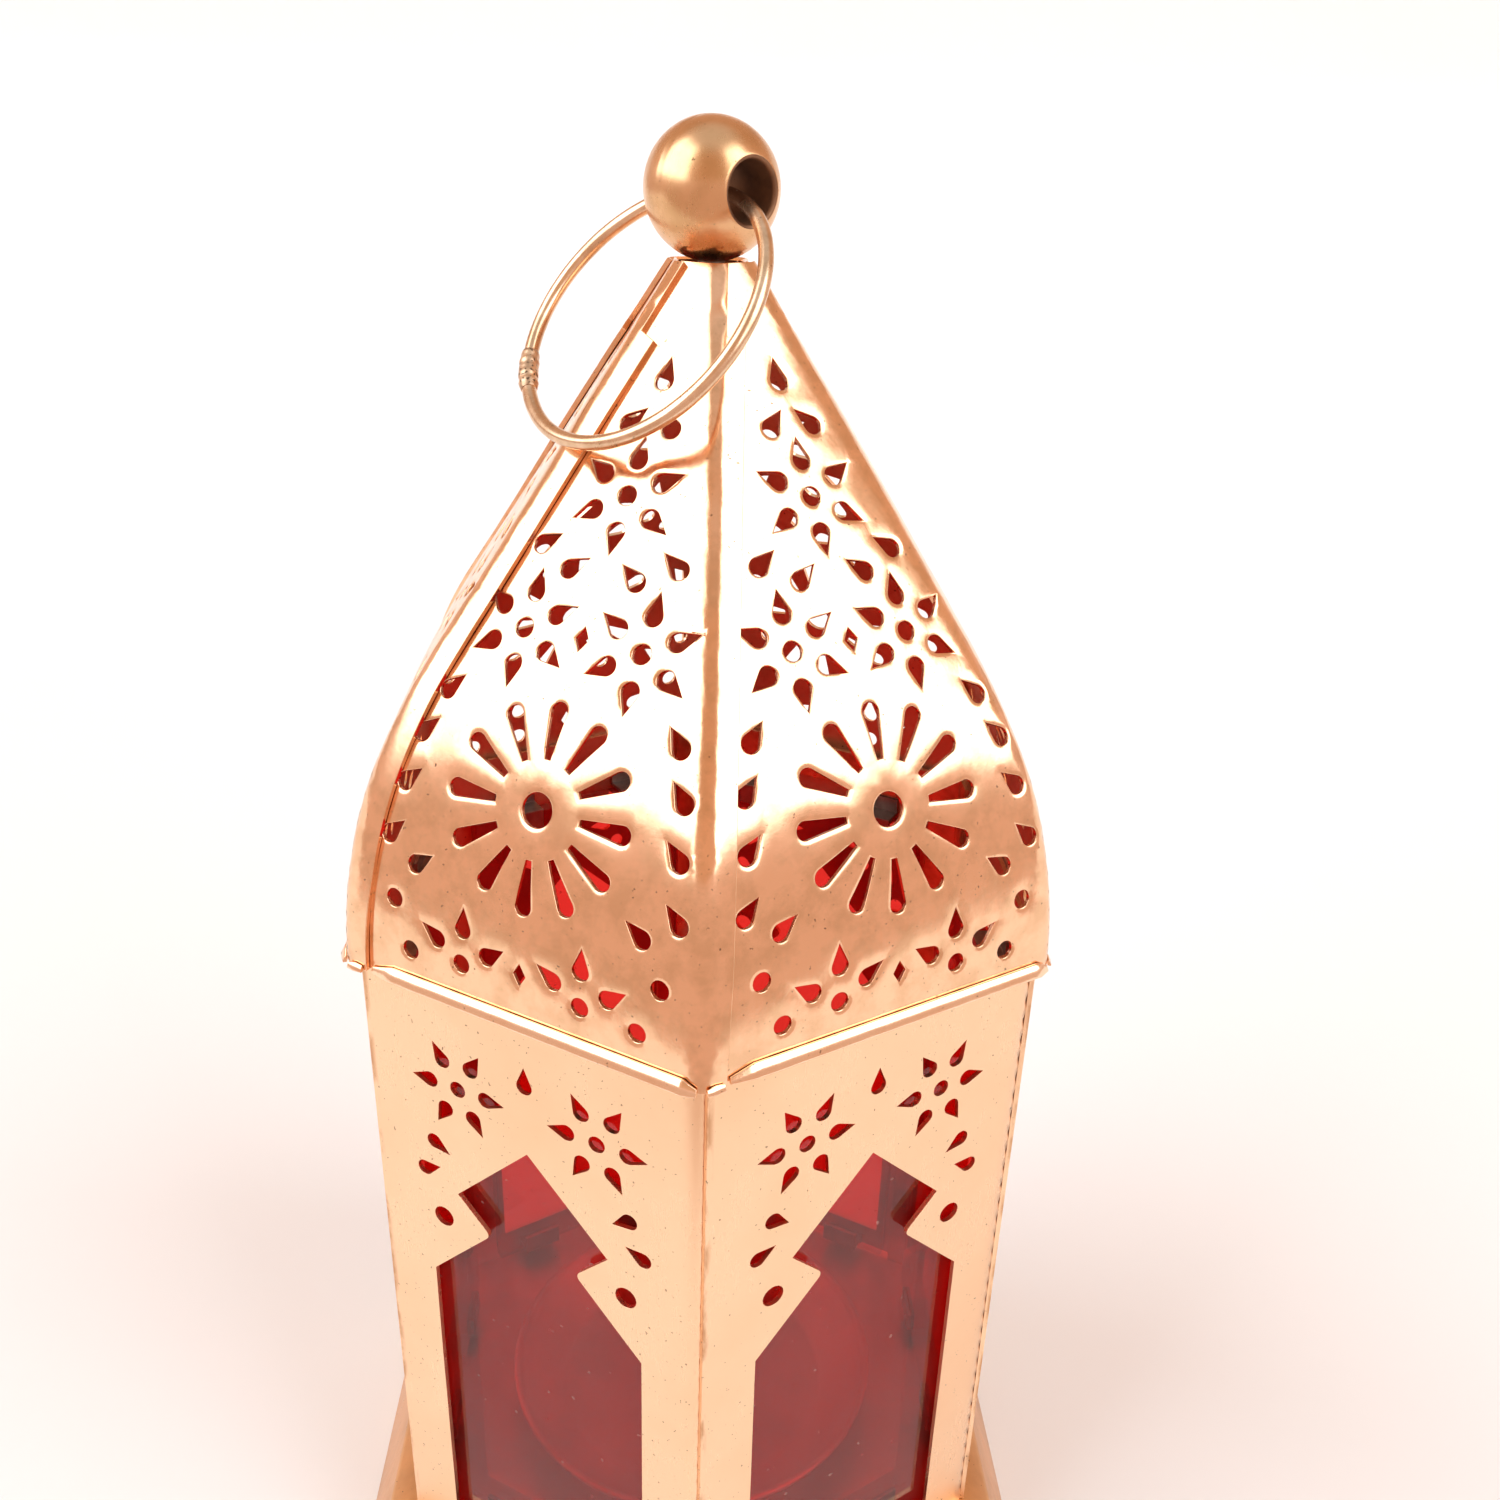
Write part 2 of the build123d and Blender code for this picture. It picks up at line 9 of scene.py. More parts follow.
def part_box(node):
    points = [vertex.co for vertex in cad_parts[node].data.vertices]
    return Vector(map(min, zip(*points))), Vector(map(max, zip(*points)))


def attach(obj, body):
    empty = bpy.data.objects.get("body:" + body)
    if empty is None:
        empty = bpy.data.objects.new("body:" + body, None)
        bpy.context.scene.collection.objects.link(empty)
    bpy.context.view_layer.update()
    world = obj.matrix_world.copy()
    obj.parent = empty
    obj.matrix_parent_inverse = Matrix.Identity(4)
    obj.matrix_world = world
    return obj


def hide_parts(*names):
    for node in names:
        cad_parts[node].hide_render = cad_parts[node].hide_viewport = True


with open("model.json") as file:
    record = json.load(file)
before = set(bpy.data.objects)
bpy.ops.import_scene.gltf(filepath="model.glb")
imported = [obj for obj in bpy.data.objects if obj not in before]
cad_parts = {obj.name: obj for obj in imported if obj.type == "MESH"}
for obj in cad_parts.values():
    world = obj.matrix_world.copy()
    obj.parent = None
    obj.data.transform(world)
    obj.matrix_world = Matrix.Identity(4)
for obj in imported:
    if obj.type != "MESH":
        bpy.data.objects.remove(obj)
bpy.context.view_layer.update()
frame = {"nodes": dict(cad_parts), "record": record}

# ---------------------------------------------------------------- sizes, in millimetres
# A face's drawing frame: x (or u, measured along the sheet) to the right seen from outside,
# the sheet at y = -apothem, face k turned by 60*k degrees about Z.

MM = 0.001
TURN_30 = math.radians(30)
TURN_60 = math.radians(60)
TURN_90 = math.radians(90)
TURN_180 = math.radians(180)
TURN_360 = math.radians(360)
COS_30 = math.cos(TURN_30)
FACES = 6
DOOR_FACE = 3
SHEET = 0.6
GAP = 0.05


def box_mm(node):
    """Lowest and highest corners of a CAD node."""
    low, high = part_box(node)
    return low / MM, high / MM


BODY_LOW, BODY_HIGH = box_mm("body_panel_1")
APOTHEM = -BODY_LOW.y
CORNER = APOTHEM / COS_30
HALF_FACE = CORNER / 2
BODY_BEND = 1.1
BODY_FLANGE = 2.6
BODY_LEFT_SETBACK = 0.4

HEM_OUT = 0.9
ROOF_LOW = box_mm("roof_panel_1")[0]
EAVES = ROOF_LOW.z
ROOF_APOTHEM = -ROOF_LOW.y - HEM_OUT
ROOF_ARC = 66.0
ROOF_SLOPE = math.radians(33.2)
ROOF_CURVED = ROOF_ARC * ROOF_SLOPE
ROOF_STRAIGHT = 45.8
ROOF_LENGTH = ROOF_CURVED + ROOF_STRAIGHT
ROOF_LEFT_SETBACK = 0.95
ROOF_FLANGE = 3.5
ROOF_FLANGE_NARROWING = 0.5
TIP_FLANGE = 1.3        # width of the flange from TIP_START up
TIP_START = 75.2
ROOF_BEND_FOOT = 1.5
ROOF_BEND = 2.1
ROOF_PILLOW = 0.42                                  # how far a gore's middle is puffed out
ROOF_TWIST = math.radians(-1.3)                     # of the whole roof on the body
PATTERN_SHIFT = (1.25, 2.1, 1.0, 1.6, 1.3, 1.8)     # of each gore's holes, to the right
RIM_WIDTH = 0.55
RIM_DROP = 0.1

BASE_HIGH = box_mm("base_skirt")[1]
FOOT_CORNER = BASE_HIGH.x
CREASE_CORNER = 50.4
CREASE_Z = 12.6
FOOT_LIP = 5.0

PAN_LOW, PAN_HIGH = box_mm("candle_pan")
PAN_SHEET = 0.5
PAN_BEAD = 0.55
PAN_RIVET_HOLE = 1.7
BALL_HIGH = box_mm("finial_ball")[1]
BALL_RADIUS = 7.25
BALL_Z = BALL_HIGH.z - BALL_RADIUS
BORE_RADIUS = 3.1
BORE_LIP = 0.45
BORE_AZIMUTH = math.radians(-20)
RING_RADIUS = 15.3
RING_WIRE = 0.8
RING_SLACK = 0.2
RING_LEAN = math.radians(39)
RING_AZIMUTH = math.radians(-18)
SLEEVE_START = math.radians(134)
SLEEVE_END = math.radians(154)

DROP_ROUND = 1.03       # radius of a drop's round end
DROP_TIP = 2.55         # from the middle of the round end to the tip
DOT = 1.06              # radius of a small round hole
BODY_BEVEL = 0.09
ROOF_BEVEL = 0.1
BASE_BEVEL = 0.12


def fade(value, start, end):
    """0 up to start, 1 from end on, and a straight line between them."""
    return min(max((value - start) / (end - start), 0), 1)


# ---------------------------------------------------------------- punched outlines, as closed loops

def circle_loop(x, y, radius, count=18):
    """A round hole, as a polygon."""
    step = TURN_360 / count
    return [(x + radius * math.cos(i * step), y + radius * math.sin(i * step)) for i in range(count)]


def drop_loop(x, y, angle, count=14):
    """A teardrop whose round end is centred on x, y, with its tip at angle."""
    spread = math.acos(DROP_ROUND / DROP_TIP)
    loop = [(x + DROP_TIP * math.cos(angle), y + DROP_TIP * math.sin(angle))]
    for i in range(count + 1):
        turn = angle + spread + (TURN_360 - 2 * spread) * i / count
        loop.append((x + DROP_ROUND * math.cos(turn), y + DROP_ROUND * math.sin(turn)))
    return loop


def petal_loop(y, angle, inner=5.3, outer=11.3, inner_half=0.35, outer_half=1.0, count=10):
    """A long daisy petal that widens outwards from a centre at height y."""
    centre = outer - outer_half
    flat = [(inner, inner_half), (inner, -inner_half)]
    for i in range(count + 1):
        turn = -TURN_90 + TURN_180 * i / count
        flat.append((centre + outer_half * math.cos(turn), outer_half * math.sin(turn)))
    c, s = math.cos(angle), math.sin(angle)
    return [(c * a - s * b, y + s * a + c * b) for a, b in flat]


def diamond_loop(x, y, half_wide=0.8, half_high=1.3):
    """An upright diamond."""
    return [(x + half_wide, y), (x, y + half_high), (x - half_wide, y), (x, y - half_high)]


def flower_loops(x, y, start, inner):
    """A dot with six drops round it, the first at start degrees and all at a distance inner."""
    loops = [circle_loop(x, y, DOT)]
    for step in range(6):
        turn = math.radians(start + 60 * step)
        loops.append(drop_loop(x + inner * math.cos(turn), y + inner * math.sin(turn), turn))
    return loops


def mirrored_drops(x, y, tip_x, tip_y):
    """A drop that points towards its tip, and its mirror image."""
    angle = math.atan2(tip_y - y, tip_x - x)
    return [drop_loop(x, y, angle), drop_loop(-x, y, TURN_180 - angle)]


def mirrored_dots(x, y, radius=DOT):
    """A round hole and its mirror image."""
    return [circle_loop(x, y, radius), circle_loop(-x, y, radius)]


def roof_holes():
    """The gore's pattern: x across, y up the bent sheet from the eaves."""
    daisy = 24.3
    loops = [diamond_loop(0, 6.2), diamond_loop(0, 42.3), circle_loop(0, daisy, 1.85, 28)]
    loops += [petal_loop(daisy, math.radians(30 * step)) for step in range(12)]
    loops += mirrored_dots(14.7, 4.5) + mirrored_dots(7.7, 5.0) + mirrored_dots(17.0, 10.1)
    loops += mirrored_drops(4.3, 6.9, 2.1, 8.3)
    loops += mirrored_drops(7.6, 9.1, 7.6, 11.7)
    loops += mirrored_drops(11.0, 7.0, 13.2, 8.4)
    loops += mirrored_drops(14.4, 14.7, 12.2, 16.2)
    loops += mirrored_drops(18.3, 17.2, 16.6, 18.9)
    loops += mirrored_drops(17.2, 23.3, 15.5, 24.9)
    loops += mirrored_drops(16.3, 28.9, 14.8, 30.5)
    loops += mirrored_drops(14.4, 34.0, 12.9, 35.6)
    for x, y in ((-7.2, 42.2), (7.2, 42.2), (0, 57.9)):
        loops += flower_loops(x, y, start=30, inner=3.95)
    loops += mirrored_drops(8.4, 51.3, 6.6, 52.5)
    loops += mirrored_drops(4.1, 49.2, 2.3, 50.5)
    loops += mirrored_drops(2.6, 65.6, 1.1, 67.2)
    loops.append(drop_loop(0, 70.7, TURN_90))
    return loops


def window_loop():
    """Keyhole-arch window with small rounds at the two notches."""
    peak, step, notch, shoulder, foot = 90.0, (10.5, 79.5), (6.0, 75.0), (14.9, 65.9), 21.0
    radius = 0.8
    centre = (notch[0] + radius * math.sqrt(2), notch[1])
    rounded = []
    for i in range(7):
        turn = math.radians(135 + 90 * i / 6)
        rounded.append((centre[0] + radius * math.cos(turn), centre[1] + radius * math.sin(turn)))
    right = [(0, peak), step, *rounded, shoulder, (shoulder[0], foot)]
    return right + [(-x, y) for x, y in reversed(right[1:])]


def face_holes():
    """The body face's window and punched border: x across, y the height above the ground."""
    loops = [window_loop(), drop_loop(0, 99.3, TURN_90)]
    for x in (-9.35, 9.35):
        loops += flower_loops(x, 95.3, start=0, inner=3.9)
    loops += mirrored_drops(13.4, 86.3, 11.1, 85.0)
    loops += mirrored_drops(15.2, 81.6, 12.8, 82.6)
    loops += mirrored_dots(12.9, 75.0, 1.4)
    return loops


# ---------------------------------------------------------------- sheet metal from flat patterns

ROW_HEIGHT = 0.87       # of a row of triangles, for sides of 1
EDGE_ROOM = 0.55        # least distance of an inner point from any outline, for a spacing of 1
RIM_ROOM = 0.85         # least distance of a rim's point from any outline, for a rim step of 1
RIM_STEPS = (0.25, 0.55)     # distances of the rim's points from their hole
RIM_EDGE_STEP = 0.08
FAN_ANGLE = 0.35
CDT_KEEP_INSIDE = 1
CDT_PRECISION = 1e-5


def subdivided(loop, spacing):
    """The closed loop with its long sides split."""
    points = []
    for (ax, ay), (bx, by) in zip(loop, loop[1:] + loop[:1]):
        parts = max(1, math.ceil(math.hypot(bx - ax, by - ay) / spacing))
        points += [(ax + (bx - ax) * i / parts, ay + (by - ay) * i / parts) for i in range(parts)]
    return points


def banded(loops):
    """Each loop with the lowest and highest of its second coordinate."""
    return [(min(p[1] for p in loop), max(p[1] for p in loop), loop) for loop in loops]


def inside(point, bands):
    """Even-odd test against all loops together, so that a hole counts as outside."""
    x, y = point
    odd = False
    for low, high, loop in bands:
        if not low <= y <= high:
            continue
        for (ax, ay), (bx, by) in zip(loop, loop[1:] + loop[:1]):
            if (ay > y) != (by > y) and x < ax + (y - ay) * (bx - ax) / (by - ay):
                odd = not odd
    return odd


def distance_to(points):
    """A function that gives the distance from (x, y) to the nearest of the points."""
    tree = kdtree.KDTree(len(points))
    for i, (x, y) in enumerate(points):
        tree.insert((x, y, 0), i)
    tree.balance()
    return lambda x, y: tree.find((x, y, 0))[2]


def offset_points(loop, distance):
    """Points beside a hole's outline, a distance outside it, fanned out round its sharp corners."""
    count = len(loop)
    turning = sum(loop[i - 1][0] * loop[i][1] - loop[i][0] * loop[i - 1][1] for i in range(count))
    side = math.copysign(1, turning)
    beside = []
    for i, (x, y) in enumerate(loop):
        before = math.atan2(y - loop[i - 1][1], x - loop[i - 1][0])
        after = math.atan2(loop[(i + 1) % count][1] - y, loop[(i + 1) % count][0] - x)
        turn = (after - before + TURN_180) % TURN_360 - TURN_180
        fan = max(1, round(abs(turn) / FAN_ANGLE))
        for k in range(fan):
            heading = before + turn * (k + 0.5) / fan - side * TURN_90
            beside.append((x + distance * math.cos(heading), y + distance * math.sin(heading)))
    return beside


def rim_drops(points, holes):
    """Depth of each point on the rolled-in rim that the punch leaves round every hole."""
    from_edge = distance_to([point for hole in holes for point in subdivided(hole, RIM_EDGE_STEP)])
    return [RIM_DROP * max(1 - from_edge(x, y) / RIM_WIDTH, 0) ** 2 for x, y in points]


def flat_triangles(outer, holes, spacing, rim_steps=()):
    """Points and triangles of an outline with holes, with inner points about spacing apart."""
    loops = [subdivided(outer, spacing)] + [subdivided(hole, spacing) for hole in holes]
    points = []
    edges = []
    for loop in loops:
        first = len(points)
        points += loop
        edges += [(first + i, first + (i + 1) % len(loop)) for i in range(len(loop))]
    from_outline = distance_to(points)
    for step in rim_steps:
        for hole in loops[1:]:
            beside = offset_points(hole, step)
            points += [(x, y) for x, y in beside if from_outline(x, y) > RIM_ROOM * step]
    from_placed = distance_to(points)
    bands = banded(loops)
    low_x, high_x = min(p[0] for p in outer), max(p[0] for p in outer)
    low_y, high_y = min(p[1] for p in outer), max(p[1] for p in outer)
    row_height = spacing * ROW_HEIGHT
    for row in range(int((high_y - low_y) / row_height) + 1):
        y = low_y + row * row_height
        for column in range(int((high_x - low_x) / spacing) + 2):
            x = low_x + (column + 0.5 * (row % 2)) * spacing
            if from_placed(x, y) > EDGE_ROOM * spacing and inside((x, y), bands):
                points.append((x, y))
    found, _, faces, *_ = delaunay_2d_cdt(
        [Vector(p) for p in points], edges, [], CDT_KEEP_INSIDE, CDT_PRECISION)
    kept = []
    for face in faces:
        middle = sum((found[i] for i in face), Vector((0, 0))) / 3
        if inside(middle, bands):
            kept.append(face)
    order = {old: new for new, old in enumerate(sorted({i for face in kept for i in face}))}
    return [tuple(found[i]) for i in order], [tuple(order[i] for i in face) for face in kept]


def shell(points, triangles, place, thickness, drops=None):
    """Closed mesh data of a sheet: place gives the point at (u, v, depth below the outer face)."""
    count = len(points)
    drops = drops or [0] * count
    outer = [place(u, v, drop) for (u, v), drop in zip(points, drops)]
    inner = [place(u, v, thickness) for u, v in points]
    faces = []
    edge_use = {}
    for a, b, c in triangles:
        faces.append((a, b, c))
        faces.append((c + count, b + count, a + count))
        for edge in ((a, b), (b, c), (c, a)):
            edge_use[edge] = edge_use.get(edge, 0) + 1
    for a, b in edge_use:
        if (b, a) not in edge_use:
            faces.append((b, a, a + count, b + count))
    return outer + inner, faces


def mesh_object(name, verts, faces, material, bevel=0.0, sharp=40):
    """A smooth-shaded object, from millimetres to metres, with its sharp edges bevelled."""
    mesh = bpy.data.meshes.new(name)
    mesh.from_pydata([Vector(v) * MM for v in verts], [], faces)
    mesh.validate()
    mesh.shade_smooth()
    mesh.set_sharp_from_angle(angle=math.radians(sharp))
    mesh.materials.append(material)
    piece = bpy.data.objects.new(name, mesh)
    bpy.context.scene.collection.objects.link(piece)
    if bevel:
        rounding = piece.modifiers.new("rounded_edges", "BEVEL")
        rounding.width = bevel * MM
        rounding.segments = 2
        rounding.limit_method = "ANGLE"
        rounding.angle_limit = math.radians(sharp)
        rounding.harden_normals = True
    return piece


def turned(verts, face, twist=0.0):
    """Points of face 0, turned to another face and by a twist more."""
    spin = Matrix.Rotation(TURN_60 * face + twist, 4, "Z")
    return [spin @ Vector(v) for v in verts]


def dull_inside(piece, triangles):
    """Gives the inner faces of a shell, which alternate with its outer ones, the unpolished finish."""
    piece.data.materials.append(INNER)
    for index in range(1, 2 * len(triangles), 2):
        piece.data.polygons[index].material_index = 1


def install(piece, body, material_slot, *nodes):
    """Rides a piece on its body, in place of the CAD nodes that it stands for."""
    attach(piece, body)
    if nodes:
        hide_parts(*nodes)


def dents(point, face, size, depth):
    """Gentle unevenness of hand-worked sheet, different on every face."""
    return depth * noise.noise(Vector(point) / size + Vector((17.3 * face, 5.1, 2.7)))


def meet(own, other):
    """Plan point at apothem own on face 0 and apothem other on the face to its right."""
    return (other - own / 2) / COS_30, -own


def bend_plan(u, own, other, radius):
    """Plan point and heading on a sheet at apothem own, bent round onto the next face at apothem other."""
    cx, cy = meet(own - radius, other - radius)
    if u <= cx:
        return (u, -own), (0.0, -1.0)
    turn = min((u - cx) / radius, TURN_60)
    heading = (math.sin(turn), -math.cos(turn))
    extra = max(u - cx - radius * TURN_60, 0)
    x = cx + radius * heading[0] + extra * math.cos(TURN_60)
    y = cy + radius * heading[1] + extra * math.sin(TURN_60)
    return (x, y), heading


# ---------------------------------------------------------------- node helpers

def new_material(name):
    """A material, its node tree and its Principled shader."""
    material = bpy.data.materials.new(name)
    material.use_nodes = True
    tree = material.node_tree
    return material, tree, tree.nodes["Principled BSDF"]


def add(tree, kind, **inputs):
    """A node, with constants set on its sockets and links made from other nodes' outputs."""
    node = tree.nodes.new(kind)
    for key, value in inputs.items():
        socket = node.inputs[key.replace("_", " ")]
        if isinstance(value, bpy.types.NodeSocket):
            tree.links.new(value, socket)
        else:
            socket.default_value = value
    return node


def vector_math(tree, operation, *inputs):
    """A vector operation on constants and other nodes' outputs."""
    node = tree.nodes.new("ShaderNodeVectorMath")
    node.operation = operation
    for socket, value in zip(node.inputs, inputs):
        if isinstance(value, bpy.types.NodeSocket):
            tree.links.new(value, socket)
        else:
            socket.default_value = value
    return node.outputs


def mixed_shaders(tree, fac, one, two):
    """A mix of two shader nodes, by a factor from another node's output."""
    node = tree.nodes.new("ShaderNodeMixShader")
    for socket, value in zip(node.inputs, (fac, one.outputs[0], two.outputs[0])):
        tree.links.new(value, socket)
    return node


def object_noise(tree, scale, detail=4.0, roughness=0.55, stretch=(1, 1, 1)):
    """Noise in object space, with scale in bumps per metre."""
    place = tree.nodes.new("ShaderNodeTexCoord")
    mapping = add(tree, "ShaderNodeMapping", Vector=place.outputs["Object"], Scale=stretch)
    texture = add(
        tree, "ShaderNodeTexNoise",
        Vector=mapping.outputs[0], Scale=scale, Detail=detail, Roughness=roughness)
    return texture.outputs["Fac"]


def ramp(tree, fac, *stops):
    """A colour ramp through (position, colour) stops."""
    node = tree.nodes.new("ShaderNodeValToRGB")
    tree.links.new(fac, node.inputs["Fac"])
    elements = node.color_ramp.elements
    while len(elements) < len(stops):
        elements.new(0.5)
    for element, (position, colour) in zip(elements, stops):
        element.position = position
        element.color = (*colour, 1.0)
    return node.outputs["Color"]


def grey(value):
    """A grey, as a colour."""
    return (value, value, value)


def grey_ramp(tree, fac, *stops):
    """A ramp through (position, grey value) stops."""
    return ramp(tree, fac, *((position, grey(value)) for position, value in stops))


def mix_colour(tree, fac, one, two, blend="MIX"):
    """A mix of two colours, each a constant or another node's output."""
    fac_input, one_input, two_input, result = 0, 6, 7, 2
    node = tree.nodes.new("ShaderNodeMix")
    node.data_type = "RGBA"
    node.blend_type = blend
    for index, value in ((fac_input, fac), (one_input, one), (two_input, two)):
        if isinstance(value, bpy.types.NodeSocket):
            tree.links.new(value, node.inputs[index])
        elif index == fac_input:
            node.inputs[index].default_value = value
        else:
            node.inputs[index].default_value = (*value, 1.0)
    return node.outputs[result]


# ---------------------------------------------------------------- materials

def seam_marks(tree):
    """One on the brown braze along the body's upright corners, broken up over its height."""
    inner_reach, outer_reach = 0.62, 0.30
    place = tree.nodes.new("ShaderNodeTexCoord")
    level = vector_math(tree, "MULTIPLY", place.outputs["Object"], (1, 1, 0))
    reach = vector_math(tree, "LENGTH", level["Vector"])
    close = add(
        tree, "ShaderNodeMapRange", Value=reach["Value"],
        From_Min=(CORNER - inner_reach) * MM, From_Max=(CORNER - outer_reach) * MM)
    patchy = object_noise(tree, 420, 4.0, 0.6, (1, 1, 0.3))
    broken = grey_ramp(tree, patchy, (0.47, 0), (0.60, 1))
    return mix_colour(tree, 1.0, broken, close.outputs["Result"], "MULTIPLY")


def plated_metal(name, colour, stain, rough_low, rough_high, patch_scale=70,
                 spots=0.74, scratch=0.35, seams=False, cloudy=0.68):
    """Polished plated sheet: cloudy patches, fine rubbed lines, a few dark specks."""
    material, tree, shader = new_material(name)
    shader.inputs["Metallic"].default_value = 1.0
    clouds = object_noise(tree, patch_scale, 5.0, 0.6)
    rubbed = object_noise(tree, 900, 3.0, 0.7, (1, 1, 0.06))
    specks = object_noise(tree, 2400, 1.0, 0.4)
    tone = mix_colour(tree, grey_ramp(tree, clouds, (0.42, 0), (cloudy, 1)), colour, stain)
    dark = tuple(0.35 * c for c in stain)
    tone = mix_colour(tree, grey_ramp(tree, specks, (spots, 0), (spots + 0.05, 1)), tone, dark)
    if seams:
        braze = (0.62, 0.33, 0.17)
        tone = mix_colour(tree, seam_marks(tree), tone, braze)
    tree.links.new(tone, shader.inputs["Base Color"])
    rough = mix_colour(tree, clouds, grey(rough_low), grey(rough_high))
    rubbed_rough = grey_ramp(tree, rubbed, (0.3, rough_low), (0.8, rough_high + 0.1))
    tree.links.new(mix_colour(tree, scratch, rough, rubbed_rough), shader.inputs["Roughness"])
    lines = grey_ramp(tree, rubbed, (0, 0), (1, 1))
    swells = grey_ramp(tree, clouds, (0, 0), (1, 1))
    height = mix_colour(tree, 1 - scratch, lines, swells)
    bump = add(tree, "ShaderNodeBump", Strength=0.05, Distance=0.0004, Height=height)
    tree.links.new(bump.outputs["Normal"], shader.inputs["Normal"])
    return material


def fitting_metal(name, colour, stain, roughness):
    """Small cast or drawn fittings, with softened edges from a bevelled normal."""
    material, tree, shader = new_material(name)
    shader.inputs["Metallic"].default_value = 1.0
    clouds = object_noise(tree, 350, 4.0)
    tone = mix_colour(tree, grey_ramp(tree, clouds, (0.4, 0), (0.7, 1)), colour, stain)
    tree.links.new(tone, shader.inputs["Base Color"])
    rough = grey_ramp(tree, clouds, (0.2, roughness), (0.8, roughness + 0.15))
    tree.links.new(rough, shader.inputs["Roughness"])
    soft = add(tree, "ShaderNodeBevel", Radius=0.0002)
    bump = add(
        tree, "ShaderNodeBump",
        Strength=0.1, Distance=0.0002, Height=clouds, Normal=soft.outputs[0])
    tree.links.new(bump.outputs["Normal"], shader.inputs["Normal"])
    return material


def tinted_glass(name):
    """Red pane: tinted see-through, a clear reflection that grows at glancing angles, dust and smears."""
    material, tree, shader = new_material(name)
    tree.nodes.remove(shader)
    tint = (0.86, 0.17, 0.15, 1.0)
    white = (1, 1, 1, 1)
    dust_colour = (0.62, 0.30, 0.26, 1.0)
    smears = object_noise(tree, 60, 3.0, 0.5, (1, 1, 0.4))
    see_through = add(tree, "ShaderNodeBsdfTransparent", Color=tint)
    smeared = grey_ramp(tree, smears, (0.45, 0.02), (0.8, 0.12))
    gloss = add(tree, "ShaderNodeBsdfGlossy", Color=white, Roughness=smeared)
    facing = add(tree, "ShaderNodeLayerWeight", Blend=0.5)
    fresnel = grey_ramp(
        tree, facing.outputs["Facing"], (0.0, 0.035), (0.5, 0.055), (0.75, 0.20), (1.0, 1.0))
    pane = mixed_shaders(tree, fresnel, see_through, gloss)
    film = grey_ramp(tree, smears, (0.35, 0.03), (0.75, 0.08))
    grains = grey_ramp(tree, object_noise(tree, 900, 1.0, 0.4), (0.77, 0), (0.80, 1))
    dust_mask = mix_colour(tree, grains, film, grey(0.4))
    dust = add(tree, "ShaderNodeBsdfDiffuse", Color=dust_colour)
    whole = mixed_shaders(tree, dust_mask, pane, dust)
    tree.links.new(whole.outputs[0], tree.nodes["Material Output"].inputs["Surface"])
    return material


INNER = plated_metal("inner_dull", (0.92, 0.50, 0.32), (0.72, 0.36, 0.22), 0.40, 0.60, 60)
# Inside the ball's bore: a duller finish, and a dark tone that is painted shade in the hole.
BORE_PAINTED_SHADE = plated_metal("bore_painted_shade", (0.30, 0.16, 0.09), (0.16, 0.08, 0.05), 0.5, 0.7, 200)
MATERIALS = {
    "roof_sheet": plated_metal(
        "roof_rose_gold", (0.99, 0.61, 0.38), (0.83, 0.51, 0.30), 0.07, 0.24, 260,
        scratch=0.15, cloudy=0.62),
    "body_sheet": plated_metal(
        "body_rose_gold", (0.965, 0.65, 0.415), (0.935, 0.61, 0.375), 0.22, 0.34, 45,
        scratch=0.1, seams=True),
    # The hem's colours are paler and whiter than the roof sheet's: a painted highlight along the hem.
    "hem": plated_metal("hem_rose_gold_painted_highlight", (0.99, 0.70, 0.48), (0.95, 0.62, 0.40), 0.08, 0.2, 150),
    "base_sheet": plated_metal(
        "base_rose_gold", (0.80, 0.43, 0.20), (0.57, 0.31, 0.15), 0.22, 0.42, 60),
    "pan_metal": plated_metal(
        "pan_rose_gold", (0.72, 0.48, 0.31), (0.52, 0.33, 0.21), 0.45, 0.65, 60),
    "ball_brass": plated_metal(
        "ball_brass", (0.79, 0.47, 0.25), (0.66, 0.39, 0.19), 0.18, 0.34, 260, scratch=0.2),
    "ring_wire": plated_metal("ring_wire", (0.86, 0.62, 0.42), (0.60, 0.38, 0.22), 0.14, 0.34, 200),
    "solder": plated_metal(
        "ring_braze", (0.82, 0.56, 0.36), (0.42, 0.26, 0.16), 0.25, 0.5, 700, spots=0.62),
    "steel_fittings": fitting_metal("steel_fittings", (0.44, 0.38, 0.34), (0.28, 0.22, 0.19), 0.32),
    "brass_fittings": fitting_metal("brass_fittings", (0.88, 0.58, 0.34), (0.62, 0.38, 0.20), 0.24),
    "red_glass": tinted_glass("red_glass"),
}


# ---------------------------------------------------------------- roof

def roof_station(length):
    """Apothem, height and slope at a length up the bent sheet."""
    slope = min(max(length, 0) / ROOF_ARC, ROOF_SLOPE)
    straight = max(length - ROOF_CURVED, 0)
    apothem = ROOF_APOTHEM - ROOF_ARC * (1 - math.cos(slope)) - straight * math.sin(slope)
    height = EAVES + ROOF_ARC * math.sin(slope) + straight * math.cos(slope) + min(length, 0)
    return apothem, height, slope


def roof_bend(length):
    """Radius of the bend at a ridge: tight at the eaves, softer higher up."""
    return ROOF_BEND_FOOT + (ROOF_BEND - ROOF_BEND_FOOT) * fade(length, 0, 20)


